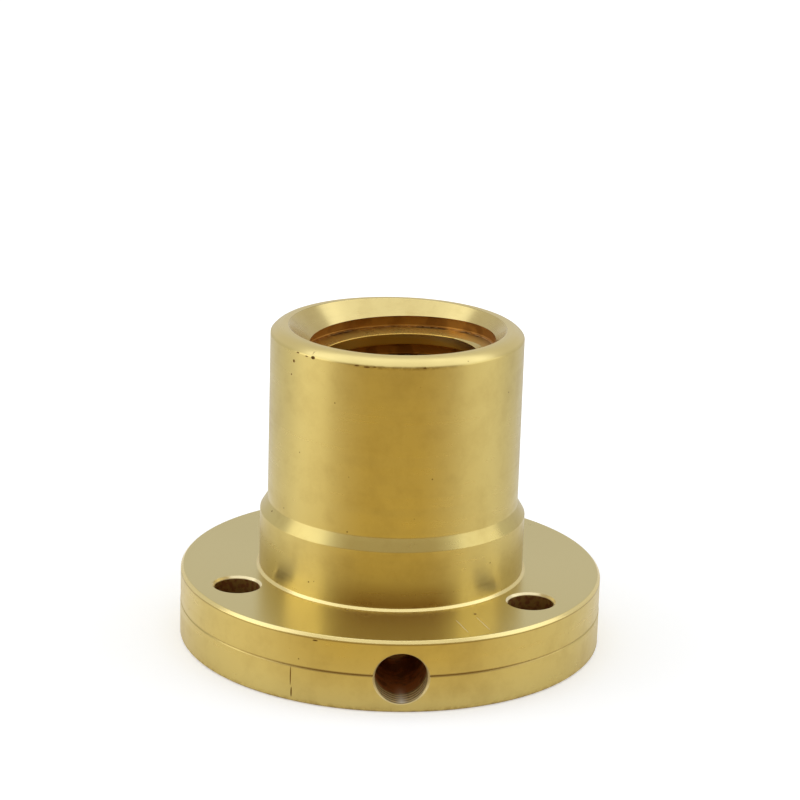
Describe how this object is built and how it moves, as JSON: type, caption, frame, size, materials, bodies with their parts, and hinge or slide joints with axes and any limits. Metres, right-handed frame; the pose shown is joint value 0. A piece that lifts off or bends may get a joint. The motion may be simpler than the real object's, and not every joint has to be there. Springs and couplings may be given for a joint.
{
  "type": "lead screw nut",
  "caption": "Flanged lead screw nut turned from solid brass, with a left-hand trapezoidal thread, a locating neck, bolt holes in the flange and a hole through the rim",
  "frame": {"origin": "middle of the flange's underside, on the thread's axis", "axes": "+Z is the thread's axis and points from the flange to the mouth of the barrel. The hole through the rim faces -Y."},
  "size_m": [0.071, 0.071, 0.0538],
  "materials": {
    "brass": "turned and lightly polished brass, with fine circular tool marks, softly broken edges and small nicks"
  },
  "bodies": {
    "root": {"nut_body": "brass"}
  },
  "joints": []
}
